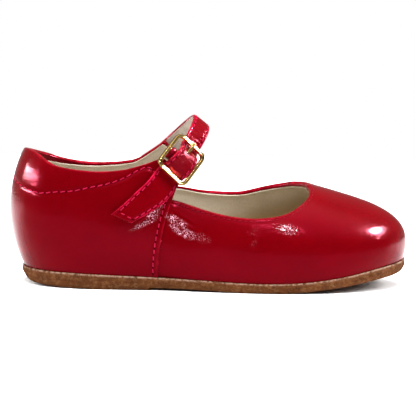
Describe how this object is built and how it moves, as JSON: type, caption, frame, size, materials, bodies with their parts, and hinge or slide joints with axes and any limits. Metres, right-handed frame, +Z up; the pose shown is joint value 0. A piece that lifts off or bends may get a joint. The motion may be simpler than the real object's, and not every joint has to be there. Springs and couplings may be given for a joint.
{
  "type": "child's strap shoe",
  "caption": "Child's low patent leather shoe with a round closed toe, a buckled strap over the instep and a flat crepe rubber sole with a low heel; right foot.",
  "frame": {"origin": "middle of the shoe's footprint, on the floor", "axes": "+X towards the toe, +Y towards the inner side of the foot, +Z up"},
  "size_m": [0.1492, 0.0566, 0.0631],
  "materials": {
    "upper_patent": "glossy red patent",
    "strap_patent": "glossy red patent",
    "insole_leather": "matt cream lining leather",
    "crepe_sole": "matt tan crepe",
    "buckle_metal": "polished gilt"
  },
  "bodies": {
    "root": {"outsole": "crepe_sole", "insole": "insole_leather", "upper": "upper_patent", "strap": "strap_patent", "buckle_tab": "upper_patent", "buckle_frame": "buckle_metal", "buckle_prong": "buckle_metal"}
  },
  "joints": []
}
